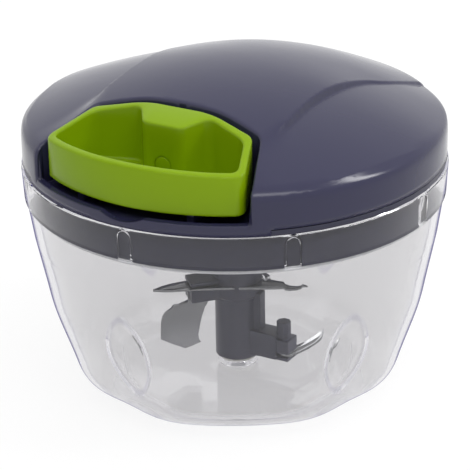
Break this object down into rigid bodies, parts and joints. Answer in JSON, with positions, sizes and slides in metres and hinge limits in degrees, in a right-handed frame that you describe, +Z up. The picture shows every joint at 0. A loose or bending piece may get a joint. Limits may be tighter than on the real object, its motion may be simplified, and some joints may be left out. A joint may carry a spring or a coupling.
{
  "type": "manual food chopper",
  "caption": "Hand powered food chopper: clear lobed bowl, domed lid with a pull handle on a cord, cord drum with return spring, and a shaft with sickle blades.",
  "frame": {"origin": "on the axis of the bowl, at the level of the surface it stands on", "axes": "+Z up along the axis of the bowl and the blade shaft; -Y towards the pull handle; +X to the right seen from the handle's side"},
  "size_m": [0.128, 0.128, 0.102],
  "materials": {
    "clear_plastic": "clear, polished",
    "slate_plastic": "gloss",
    "dark_plastic": "satin",
    "lime_plastic": "gloss",
    "pale_silicone": "translucent, soft",
    "white_nylon": "satin",
    "steel": "ground",
    "spring_steel": "blued",
    "cord_fibre": "braided"
  },
  "bodies": {
    "bowl": {"bowl": "clear_plastic", "pivot_pin": "steel"},
    "lid": {"lid_cover": "slate_plastic", "lid_base": "dark_plastic", "lid_seal": "pale_silicone", "lid_screw_1": "steel", "lid_screw_2": "steel", "lid_screw_3": "steel", "lid_screw_4": "steel", "drum_bush": "white_nylon", "drum_washer": "steel", "drum_housing": "dark_plastic", "drum_spindle": "steel", "housing_screw_1": "steel", "housing_screw_2": "steel", "housing_screw_3": "steel", "cord_guide": "steel"},
    "drum": {"cord_drum": "white_nylon", "cord_winding": "cord_fibre", "return_spring": "spring_steel", "drive_coupler": "dark_plastic", "coupler_screw": "steel"},
    "handle": {"pull_handle": "lime_plastic", "cord_knot": "cord_fibre", "pull_cord": "cord_fibre"},
    "carrier": {"shaft_bush": "white_nylon"},
    "blades": {"blade_shaft": "dark_plastic", "blade_upper": "steel", "blade_middle": "steel", "blade_lower": "steel"}
  },
  "joints": [
    {"name": "lid_lift", "type": "slide", "parent": "bowl", "child": "lid", "axis": [0, 0, 1], "range_m": [0, 0.09]},
    {"name": "handle_pull", "type": "slide", "parent": "lid", "child": "handle", "axis": [0, -1, 0], "range_m": [0, 0.3], "stiffness_N_per_m": 15, "springref_m": -0.3, "deforming": ["pull_cord"]},
    {"name": "drum_turn", "type": "hinge", "parent": "lid", "child": "drum", "pos_m": [0, 0, 0.08], "axis": [0, 0, -1], "range_deg": [0, 866]},
    {"name": "blade_lift", "type": "slide", "parent": "bowl", "child": "carrier", "axis": [0, 0, 1], "range_m": [0, 0.045]},
    {"name": "blade_spin", "type": "hinge", "parent": "carrier", "child": "blades", "pos_m": [0, 0, 0.03], "axis": [0, 0, -1], "range_deg": [0, 866]}
  ],
  "couplings": [
    {"joint": "drum_turn", "follows": "handle_pull", "rad_per_m": 50.25},
    {"joint": "blade_spin", "follows": "handle_pull", "rad_per_m": 50.25},
    {"joint": "blade_lift", "follows": "lid_lift", "ratio": 0.5}
  ]
}
